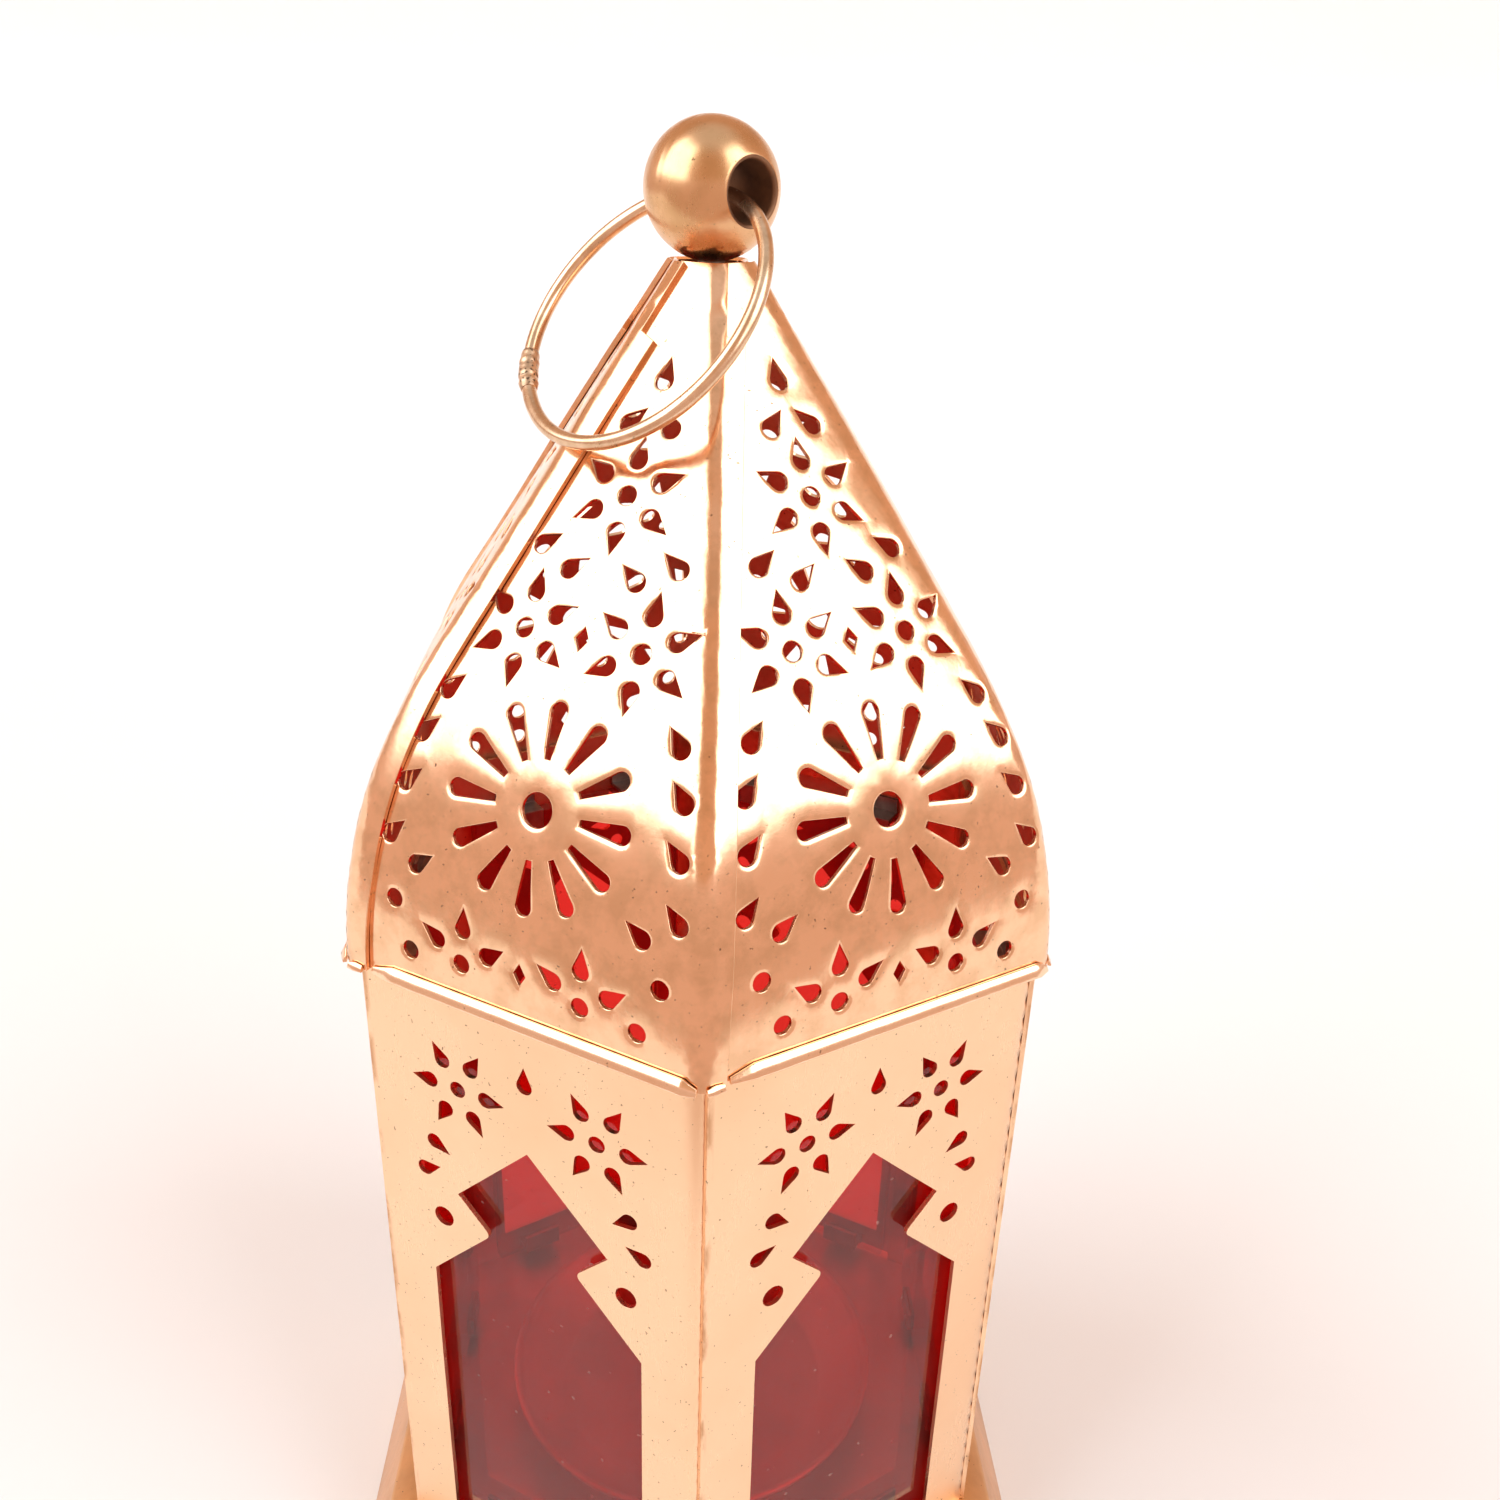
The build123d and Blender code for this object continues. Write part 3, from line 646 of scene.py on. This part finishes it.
def roof_place(face):
    """Maps the gore's flat pattern to space. The right edge is bent over the next gore."""
    def place(u, length, depth):
        apothem, height, slope = roof_station(length)
        lift = (SHEET + GAP) / math.cos(slope)
        half = apothem * math.tan(TURN_30)
        (x, y), heading = bend_plan(u, apothem, apothem + lift, roof_bend(length))
        normal = Vector((heading[0] * math.cos(slope), heading[1] * math.cos(slope), math.sin(slope)))
        broad = dents((u, length, 0), face, size=12, depth=0.13)
        fine = dents((u, length, 9), face, size=4.5, depth=0.03)
        wave = fade(length, 2, 10) * (broad + fine)
        across = min(abs(u), abs(2 * half - abs(u))) / half
        puffed = ROOF_PILLOW * fade(length, 22, 38) * fade(length, 78, 58)
        crown = puffed * (0.6 - 1.6 * across * across)
        return Vector((x, y, height)) + normal * (wave + crown - depth)
    return place


def flange_width(length):
    """The lap narrows at the eaves and stops short of the tip."""
    if length > TIP_START:
        return TIP_FLANGE
    return ROOF_FLANGE - ROOF_FLANGE_NARROWING + ROOF_FLANGE_NARROWING * fade(length, 0, 12)


def roof_edges(length):
    """Left and right limits of the flat pattern at a length."""
    apothem, _, slope = roof_station(length)
    half = apothem * math.tan(TURN_30)
    lift = (SHEET + GAP) / math.cos(slope)
    radius = roof_bend(length)
    bend_start = meet(apothem - radius, apothem + lift - radius)[0]
    right = bend_start + radius * TURN_60 + flange_width(length) - radius * math.tan(TURN_30)
    return -half + ROOF_LEFT_SETBACK, right


def roof_outline():
    """The gore's flat outline, up its right edge and down its left."""
    steps = 84
    stations = [ROOF_LENGTH * i / steps for i in range(steps + 1)]
    right = [(roof_edges(s)[1], s) for s in stations]
    left = [(roof_edges(s)[0], s) for s in reversed(stations)]
    return right + left


# The hem's section, as (out from the sheet, up from the eaves).
HEM_SECTION = [
    (0.0, -0.1), (0.80, -0.14), (0.96, 0.0), (0.98, 0.22), (0.44, 1.32), (0.24, 1.46), (0.0, 1.42),
]
HEM_SPACING = 0.7
HEM_STAND_OFF = 0.08
HEM_WOBBLE = 0.05
HEM_START_THICK = 0.45
HEM_END_THICK = 0.5
HEM_START_TAPER = 4
HEM_END_TAPER = 2


def hem_bar(path):
    """Folded hem: a closed bar with a slanted face, thinner over its first and last stations."""
    verts = []
    faces = []
    count = len(HEM_SECTION)
    for i, (point, heading) in enumerate(path):
        after_start = HEM_START_THICK + (1 - HEM_START_THICK) * i / HEM_START_TAPER
        before_end = HEM_END_THICK + (1 - HEM_END_THICK) * (len(path) - 1 - i) / HEM_END_TAPER
        thick = min(1, after_start, before_end)
        for out, up in HEM_SECTION:
            x = point[0] + heading[0] * out * thick
            y = point[1] + heading[1] * out * thick
            verts.append(Vector((x, y, EAVES + up * thick)))
    for ring in range(len(path) - 1):
        for i in range(count):
            a, b = ring * count + i, ring * count + (i + 1) % count
            faces.append((b, a, a + count, b + count))
    faces.append(tuple(range(count)))
    faces.append(tuple(reversed(range(len(verts) - count, len(verts)))))
    return verts, faces


def hem_path(start, end):
    """Stations along the foot of the bent sheet, in its flat measure u."""
    apothem = ROOF_APOTHEM + HEM_STAND_OFF
    count = max(2, int((end - start) / HEM_SPACING))
    path = []
    for i in range(count + 1):
        u = start + (end - start) * i / count
        point, heading = bend_plan(u, apothem, apothem + SHEET + GAP, ROOF_BEND_FOOT)
        wobble = HEM_WOBBLE * noise.noise(Vector((u * 0.35, start, 3.0)))
        path.append(((point[0] + heading[0] * wobble, point[1] + heading[1] * wobble), heading))
    return path


def hem_spans():
    """Start and end, in u, of the long hem under a gore and of the short one under its flange."""
    half = ROOF_APOTHEM * math.tan(TURN_30)
    right = roof_edges(0)[1]
    corner = right - ROOF_FLANGE
    lap_clearance, corner_overrun, corner_gap, end_clearance = 0.45, 0.2, 1.2, 0.3
    long_span = (ROOF_FLANGE + lap_clearance - half, corner + corner_overrun)
    short_span = (corner + corner_gap, right - end_clearance)
    return long_span, short_span


def roof_panels():
    """Six gores with shifted patterns, and two hems under each."""
    spacing = 1.25
    for face in range(FACES):
        holes = [[(u + PATTERN_SHIFT[face], v) for u, v in hole] for hole in roof_holes()]
        points, triangles = flat_triangles(roof_outline(), holes, spacing, RIM_STEPS)
        verts, faces = shell(points, triangles, roof_place(face), SHEET, rim_drops(points, holes))
        verts = turned(verts, face, ROOF_TWIST)
        gore = mesh_object(f"roof_gore_{face + 1}", verts, faces, MATERIALS["roof_sheet"], ROOF_BEVEL)
        dull_inside(gore, triangles)
        install(gore, "lantern", "roof_sheet", f"roof_panel_{face + 1}")
        for part, (start, end) in enumerate(hem_spans()):
            verts, faces = hem_bar(hem_path(start, end))
            verts = turned(verts, face, ROOF_TWIST)
            name = f"roof_hem_{face + 1}_{part + 1}"
            install(mesh_object(name, verts, faces, MATERIALS["hem"], ROOF_BEVEL), "lantern", "roof_sheet")


# ---------------------------------------------------------------- body

def body_place(face):
    """Maps a body face's flat pattern to space. The right edge is bent in behind the next face."""
    def place(u, height, depth):
        (x, y), heading = bend_plan(u, APOTHEM, APOTHEM - SHEET - GAP, BODY_BEND)
        broad = dents((u, height, 4), face + 7, size=26, depth=0.12)
        fine = dents((u, height, 6), face, size=9, depth=0.02)
        still_edge = min(1.0, (HALF_FACE + 0.5 - abs(u)) / 4) if abs(u) < HALF_FACE else 0
        wave = (broad + fine) * max(still_edge, 0)
        return Vector((x, y, height)) + Vector((heading[0], heading[1], 0)) * (wave - depth)
    return place


def rectangle(left, right, low, high):
    """A rectangular outline."""
    return [(left, low), (right, low), (right, high), (left, high)]


def body_panels():
    """Five fixed faces and the door's leaf. The face before the door has no flange behind it."""
    spacing = 1.6
    holes = face_holes()
    low, high = BODY_LOW.z, BODY_HIGH.z
    bend_start = meet(APOTHEM - BODY_BEND, APOTHEM - SHEET - GAP - BODY_BEND)[0]
    left = -HALF_FACE + BODY_LEFT_SETBACK
    right = bend_start + BODY_BEND * TURN_60 + BODY_FLANGE
    leaf_low, leaf_high = box_mm("door_leaf")
    leaf_outline = rectangle(leaf_low.x, leaf_high.x, leaf_low.z, leaf_high.z)
    flanged = flat_triangles(rectangle(left, right, low, high), holes, spacing)
    plain = flat_triangles(rectangle(left, HALF_FACE, low, high), holes, spacing)
    leaf = flat_triangles(leaf_outline, holes, spacing)
    patterns = {DOOR_FACE - 1: plain, DOOR_FACE: leaf}
    for face in range(FACES):
        points, triangles = patterns.get(face, flanged)
        verts, faces = shell(points, triangles, body_place(face), SHEET)
        name = "door_leaf" if face == DOOR_FACE else f"body_panel_{face + 1}"
        body = "door" if face == DOOR_FACE else "lantern"
        piece = mesh_object(
            name + "_sheet", turned(verts, face), faces, MATERIALS["body_sheet"], BODY_BEVEL)
        dull_inside(piece, triangles)
        install(piece, body, "body_sheet", name)


# ---------------------------------------------------------------- base, pan, ball and ring

def hex_loop(corner, z, radius, count=6):
    """A hexagon of rounded corners at one height, corners on X."""
    loop = []
    inset = radius / COS_30
    for side in range(6):
        middle = TURN_60 * side
        for i in range(count):
            turn = middle - TURN_30 + TURN_60 * i / (count - 1)
            x = (corner - inset) * math.cos(middle) + radius * math.cos(turn)
            y = (corner - inset) * math.sin(middle) + radius * math.sin(turn)
            loop.append(Vector((x, y, z)))
    return loop


def hex_solid(profile):
    """Closed body through hexagonal loops given as (corner, z, corner radius) round its section."""
    loops = [hex_loop(*station) for station in profile]
    count = len(loops[0])
    verts = [v for loop in loops for v in loop]
    faces = []
    for ring in range(len(loops)):
        after = (ring + 1) % len(loops)
        for i in range(count):
            j = (i + 1) % count
            faces.append((ring * count + i, ring * count + j, after * count + j, after * count + i))
    return verts, faces


def base():
    """Flared skirt with a crease, up its outer face, down its inner face and out along its lip."""
    top = BASE_HIGH.z
    wall = SHEET * 1.3
    lip_corner = FOOT_CORNER - FOOT_LIP / COS_30
    profile = [
        (FOOT_CORNER, 0.25, 1.2),
        (FOOT_CORNER - 0.1, 0.7, 1.2),
        (CREASE_CORNER + 0.25, CREASE_Z - 0.5, 1.2),
        (CREASE_CORNER, CREASE_Z - 0.05, 1.2),
        (CREASE_CORNER - 0.45, CREASE_Z + 0.25, 1.2),
        (CORNER + 0.1, top, 1.0),
        (CORNER - wall, top, 0.8),
        (CREASE_CORNER - wall - 0.3, CREASE_Z - 0.6, 0.9),
        (FOOT_CORNER - wall, 1.0, 0.9),
        (FOOT_CORNER - wall - 0.3, SHEET, 0.9),
        (lip_corner, SHEET, 0.8),
        (lip_corner, 0, 0.8),
        (FOOT_CORNER - 0.35, 0, 1.2),
    ]
    verts, faces = hex_solid(profile)
    skirt = mesh_object("base_skirt_sheet", verts, faces, MATERIALS["base_sheet"], BASE_BEVEL)
    install(skirt, "lantern", "base_sheet", "base_skirt")


def lathe(profile, count, matrix=Matrix.Identity(4)):
    """Closed solid of revolution about Z through a closed (radius, z) section."""
    verts = []
    faces = []
    rows = len(profile)
    for i in range(count):
        turn = TURN_360 * i / count
        verts += [matrix @ Vector((r * math.cos(turn), r * math.sin(turn), z)) for r, z in profile]
    for i in range(count):
        j = (i + 1) % count
        for row in range(rows):
            after = (row + 1) % rows
            faces.append((i * rows + row, j * rows + row, j * rows + after, i * rows + after))
    return verts, faces


def candle_pan():
    """Shallow dish with a beaded rim, open in the middle for its rivet."""
    low, high, rim = PAN_LOW.z, PAN_HIGH.z, PAN_HIGH.x
    bead_r, bead_z = rim - PAN_BEAD, high - PAN_BEAD
    outside = [(PAN_RIVET_HOLE, low), (19.2, low), (20.0, low + 0.15), (20.6, low + 0.6)]
    outside.append((rim - 1.0, high - 1.3))
    bead = []
    for i in range(9):
        turn = math.radians(-110 + 290 * i / 8)
        bead.append((bead_r + PAN_BEAD * math.cos(turn), bead_z + PAN_BEAD * math.sin(turn)))
    inside_wall = [(rim - 1.5, high - 1.25), (20.2, low + 0.95)]
    dish_floor = [(19.4, low + PAN_SHEET), (PAN_RIVET_HOLE, low + PAN_SHEET)]
    verts, faces = lathe(outside + bead + inside_wall + dish_floor, 96)
    dish = mesh_object("candle_pan_dish", verts, faces, MATERIALS["pan_metal"], sharp=50)
    install(dish, "lantern", "pan_metal", "candle_pan")


def finial_ball():
    """Bead with a soft lip round each mouth of its bore and a faint seam round its middle."""
    steps = 48
    seam_depth, seam_width = 0.035, 0.012
    mouth = math.asin((BORE_RADIUS + BORE_LIP) / BALL_RADIUS)
    profile = []
    for i in range(steps + 1):
        turn = mouth + (TURN_180 - 2 * mouth) * i / steps
        radius = BALL_RADIUS - seam_depth * math.exp(-((turn - TURN_90) / seam_width) ** 2)
        profile.append((radius * math.sin(turn), radius * math.cos(turn)))
    mouth_z = BALL_RADIUS * math.cos(mouth)
    lip = []
    for t in (0.5, 1.0, 1.57):
        lip.append((BORE_RADIUS + BORE_LIP * (1 - math.sin(t)), mouth_z - BORE_LIP * (1 - math.cos(t))))
    profile += [(r, -z) for r, z in lip] + [(r, z) for r, z in reversed(lip)]
    axis = Vector((math.cos(BORE_AZIMUTH), math.sin(BORE_AZIMUTH), 0))
    matrix = Matrix.Translation((0, 0, BALL_Z)) @ axis.to_track_quat("Z", "Y").to_matrix().to_4x4()
    verts, faces = lathe(list(reversed(profile)), 96, matrix)
    bead = mesh_object("finial_ball_bead", verts, faces, MATERIALS["ball_brass"], sharp=60)
    # The bore's wall and the lips at its mouths take the dark material: painted shade inside the hole.
    bead.data.materials.append(BORE_PAINTED_SHADE)
    rows = len(profile)
    bore_rows = (0, 1, 2, 3, 4, rows - 1)
    for index, face in enumerate(bead.data.polygons):
        if index % rows in bore_rows:
            face.material_index = 1
    install(bead, "lantern", "ball_brass", "finial_ball")


def ring_matrix():
    """Frame at the ring's centre: x along the bore, y along the lean."""
    away = RING_AZIMUTH - TURN_90
    level = math.sin(RING_LEAN)
    down = Vector((level * math.cos(away), level * math.sin(away), -math.cos(RING_LEAN)))
    along = Vector((math.cos(RING_AZIMUTH), math.sin(RING_AZIMUTH), 0))
    across = along.cross(down)
    turn = Matrix((along, down, across)).transposed().to_4x4()
    return Matrix.Translation(Vector((0, 0, BALL_Z)) + down * (RING_RADIUS + RING_SLACK)) @ turn


def tube_ring(start, end, radius_at, count, matrix, sides=20):
    """Tube along an arc of the ring's circle, of varying radius; closed on itself over a full turn."""
    full = abs(end - start - TURN_360) < 1e-6
    stations = count if full else count + 1
    verts = []
    for i in range(stations):
        turn = start + (end - start) * i / count
        out = Vector((math.cos(turn), math.sin(turn), 0))
        radius = radius_at(i / count)
        for j in range(sides):
            spin = TURN_360 * j / sides
            reach = RING_RADIUS + radius * math.cos(spin)
            verts.append(matrix @ (out * reach + Vector((0, 0, radius * math.sin(spin)))))
    faces = []
    for i in range(count):
        k = (i + 1) % stations
        for j in range(sides):
            m = (j + 1) % sides
            faces.append((i * sides + j, k * sides + j, k * sides + m, i * sides + m))
    if not full:
        faces.append(tuple(range(sides)))
        faces.append(tuple(reversed(range(len(verts) - sides, len(verts)))))
    return verts, faces


def wire_radius(t):
    """Radius of the ring's hand-drawn wire, t being 0 to 1 round the ring."""
    round_about = Vector((6 * math.cos(TURN_360 * t), 6 * math.sin(TURN_360 * t), 1))
    return RING_WIRE * (1 + 0.02 * noise.noise(round_about))


def sleeve_radius(t):
    """Radius of the lumpy sleeve, t being 0 to 1 along it."""
    lumps = 1 + 0.5 * noise.noise(Vector((9 * t, 4, 1)))
    return RING_WIRE + 0.05 + 0.24 * math.sin(TURN_180 * t) ** 0.4 * lumps


def hanging_ring():
    """The wire ring and the brazed sleeve over its joint."""
    matrix = ring_matrix()
    verts, faces = tube_ring(0, TURN_360, wire_radius, 144, matrix)
    wire = mesh_object("hanging_ring_wire", verts, faces, MATERIALS["ring_wire"])
    install(wire, "ring", "ring_wire", "hanging_ring")
    verts, faces = tube_ring(SLEEVE_START, SLEEVE_END, sleeve_radius, 28, matrix)
    sleeve = mesh_object("ring_joint", verts, faces, MATERIALS["solder"])
    install(sleeve, "ring", "solder", "ring_sleeve")


# ---------------------------------------------------------------- CAD nodes that stay

def finish_cad_nodes():
    """Each CAD node takes the material of its slot; those that a piece replaces are hidden later."""
    slots = {entry["node"]: entry["material_slot"] for entry in frame["record"]["subparts"]}
    for name, node in frame["nodes"].items():
        node.data.materials.clear()
        node.data.materials.append(MATERIALS[slots[name]])


# ---------------------------------------------------------------- stage, light and camera
# Places here are in metres and angles in degrees; the lens and sensor are in millimetres.

BACKDROP_AZIMUTH = 116.8
FLOOR_HALF_WIDTH = 1.9
FLOOR_COLUMNS = 24
FLOOR_SECTION = [      # (distance towards the backdrop, height)
    (-0.155, 0.0), (0.0, 0.0), (1.2, 0.0), (1.7, 0.0), (1.85, 0.015),
    (1.98, 0.06), (2.08, 0.15), (2.12, 0.30), (2.12, 1.0),
]
ROOM = [               # (sine of the elevation, colour)
    (0.0, (0.23, 0.16, 0.13)), (0.22, (0.26, 0.19, 0.165)), (0.30, (0.23, 0.145, 0.10)),
    (0.80, (0.20, 0.12, 0.075)), (0.94, (0.22, 0.20, 0.19)), (1.0, (0.22, 0.21, 0.20)),
]
WINDOW_BAND = [(0.19, 0), (0.27, 1), (0.84, 1), (0.92, 0)]      # (sine of the elevation, brightness)
WINDOWS = [(-137, 0.87, 0.82), (-2, 0.915, 0.89)]     # azimuth, cosines of inner and outer half-width
WINDOW_COLOUR = (1.0, 1.07, 1.13)
WORLD_STRENGTH = 3.3
BACKDROP_COLOUR = (1.0, 0.95, 0.94, 1.0)

CAMERA_AZIMUTH = 26.82
CAMERA_PITCH = 24.48
CAMERA_ROLL = -1.86
CAMERA_PLACE = (0.131, -3.445, 1.942)      # from the middle of the eaves, in body corner radii
CAMERA_LENS = 32.8
CAMERA_SENSOR = 36


def direction_vector(azimuth, elevation=0):
    """Unit vector at an azimuth and elevation."""
    a, e = math.radians(azimuth), math.radians(elevation)
    return Vector((math.cos(e) * math.cos(a), math.cos(e) * math.sin(a), math.sin(e)))


def floor_material():
    """Matt, nearly white paper with a faint unevenness."""
    material, tree, shader = new_material("pale_floor")
    shader.inputs["Roughness"].default_value = 0.7
    shader.inputs["Specular IOR Level"].default_value = 0.2
    shade = mix_colour(tree, object_noise(tree, 2.2, 2.0), (0.90, 0.885, 0.875), (0.86, 0.845, 0.835))
    tree.links.new(shade, shader.inputs["Base Color"])
    return material


def floor():
    """Pale sweep: a flat floor that reaches further behind the lantern and curves up at its far edge."""
    back = direction_vector(BACKDROP_AZIMUTH)
    side = Vector((-back.y, back.x, 0))
    verts = []
    for towards, height in FLOOR_SECTION:
        for i in range(FLOOR_COLUMNS + 1):
            along = -FLOOR_HALF_WIDTH + 2 * FLOOR_HALF_WIDTH * i / FLOOR_COLUMNS
            verts.append(back * towards + side * along + Vector((0, 0, height)))
    faces = []
    for row in range(len(FLOOR_SECTION) - 1):
        for i in range(FLOOR_COLUMNS):
            a = row * (FLOOR_COLUMNS + 1) + i
            faces.append((a, a + FLOOR_COLUMNS + 1, a + FLOOR_COLUMNS + 2, a + 1))
    mesh = bpy.data.meshes.new("floor")
    mesh.from_pydata(verts, [], faces)
    mesh.shade_smooth()
    mesh.materials.append(floor_material())
    sweep = bpy.data.objects.new("floor", mesh)
    bpy.context.scene.collection.objects.link(sweep)


def studio_light():
    """Two large soft windows in front of a dim warm room; the camera itself sees a pale backdrop."""
    world = bpy.data.worlds.new("studio_world")
    bpy.context.scene.world = world
    world.use_nodes = True
    tree = world.node_tree
    background = tree.nodes["Background"]
    place = tree.nodes.new("ShaderNodeTexCoord").outputs["Generated"]
    rise = add(tree, "ShaderNodeSeparateXYZ", Vector=place).outputs["Z"]
    level = vector_math(tree, "MULTIPLY", place, (1, 1, 0))
    compass = vector_math(tree, "NORMALIZE", level["Vector"])
    light = ramp(tree, rise, *ROOM)
    band = grey_ramp(tree, rise, *WINDOW_BAND)
    for azimuth, inner, outer in WINDOWS:
        towards = vector_math(tree, "DOT_PRODUCT", compass["Vector"], direction_vector(azimuth))
        width = grey_ramp(tree, towards["Value"], (outer, 0), (inner, 1))
        window = mix_colour(tree, 1.0, width, band, "MULTIPLY")
        light = mix_colour(tree, window, light, WINDOW_COLOUR)
    tree.links.new(light, background.inputs["Color"])
    background.inputs["Strength"].default_value = WORLD_STRENGTH
    backdrop = add(tree, "ShaderNodeBackground", Color=BACKDROP_COLOUR, Strength=1.0)
    light_path = tree.nodes.new("ShaderNodeLightPath")
    chosen = mixed_shaders(tree, light_path.outputs["Is Camera Ray"], background, backdrop)
    tree.links.new(chosen.outputs[0], tree.nodes["World Output"].inputs["Surface"])


def camera():
    """The picture's own viewpoint, set from the body's corner radius and eaves."""
    heading = Matrix.Rotation(math.radians(CAMERA_AZIMUTH), 3, "Z")
    pitch, roll = math.radians(CAMERA_PITCH), math.radians(CAMERA_ROLL)
    right = heading @ Vector((1, 0, 0))
    forward = heading @ Vector((0, math.cos(pitch), -math.sin(pitch)))
    up = heading @ Vector((0, math.sin(pitch), math.cos(pitch)))
    rolled_right = right * math.cos(roll) - up * math.sin(roll)
    rolled_up = right * math.sin(roll) + up * math.cos(roll)
    place = heading @ Vector(CAMERA_PLACE) * (CORNER * MM) + Vector((0, 0, EAVES * MM))
    data = bpy.data.cameras.new("camera")
    data.lens = CAMERA_LENS
    data.sensor_width = CAMERA_SENSOR
    data.clip_start = 0.01
    eye = bpy.data.objects.new("camera", data)
    turn = Matrix((rolled_right, rolled_up, -forward)).transposed().to_4x4()
    eye.matrix_world = Matrix.Translation(place) @ turn
    bpy.context.scene.collection.objects.link(eye)
    bpy.context.scene.camera = eye


finish_cad_nodes()
roof_panels()
body_panels()
base()
candle_pan()
finial_ball()
hanging_ring()
floor()
studio_light()
camera()
bpy.context.scene.view_settings.view_transform = "Standard"
